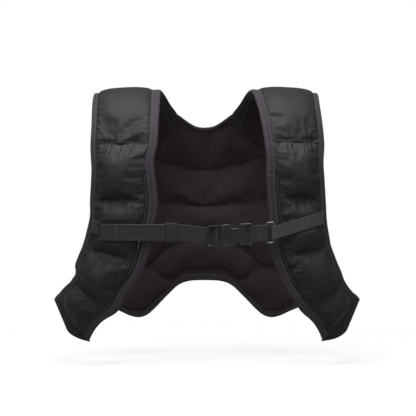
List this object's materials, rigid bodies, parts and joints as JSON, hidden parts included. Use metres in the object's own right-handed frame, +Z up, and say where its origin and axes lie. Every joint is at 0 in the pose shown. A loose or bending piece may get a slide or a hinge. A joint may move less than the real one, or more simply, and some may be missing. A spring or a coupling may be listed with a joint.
{
  "type": "weighted vest",
  "caption": "Quilted weighted training vest with bound edges, elastic mesh sides and a buckled chest strap, shown as worn",
  "frame": {"origin": "midway between the wearer's shoulders, at the height of the underside of the shoulder pads at their ridge, where the vest sits", "axes": "+X to the wearer's left, -Y out of the chest, +Z up; the chest strap crosses the front side at -Y"},
  "size_m": [0.4644, 0.2403, 0.3819],
  "materials": {
    "shell_cloth": "fine black nylon weave, soft sheen, quilted",
    "lining_cloth": "matte brown-black lining cloth, quilted",
    "binding_tape": "ribbed folded edge tape",
    "side_mesh": "coarse elastic mesh",
    "webbing": "woven nylon webbing with stitching",
    "elastic": "ribbed elastic tape",
    "buckle_plastic": "moulded black acetal",
    "zip_coil": "black nylon coil zip"
  },
  "bodies": {
    "root": {"shoulder_left": "shell_cloth", "shoulder_right": "shell_cloth", "front_panel_left": "shell_cloth", "front_panel_right": "shell_cloth", "back_panel": "lining_cloth", "side_mesh_left": "side_mesh", "side_mesh_right": "side_mesh", "front_binding_left": "binding_tape", "front_binding_right": "binding_tape", "neck_binding": "binding_tape", "hem_binding": "binding_tape", "armhole_binding_left": "binding_tape", "armhole_binding_right": "binding_tape", "zipper_left": "zip_coil", "zipper_right": "zip_coil", "zip_slider": "zip_coil", "strap_sleeve": "webbing", "strap_keeper": "elastic", "chest_strap_left": "webbing", "chest_strap_right": "webbing", "anchor_tape_left": "elastic", "anchor_tape_right": "elastic", "buckle_male": "buckle_plastic", "buckle_female": "buckle_plastic", "square_ring": "buckle_plastic"}
  },
  "joints": []
}
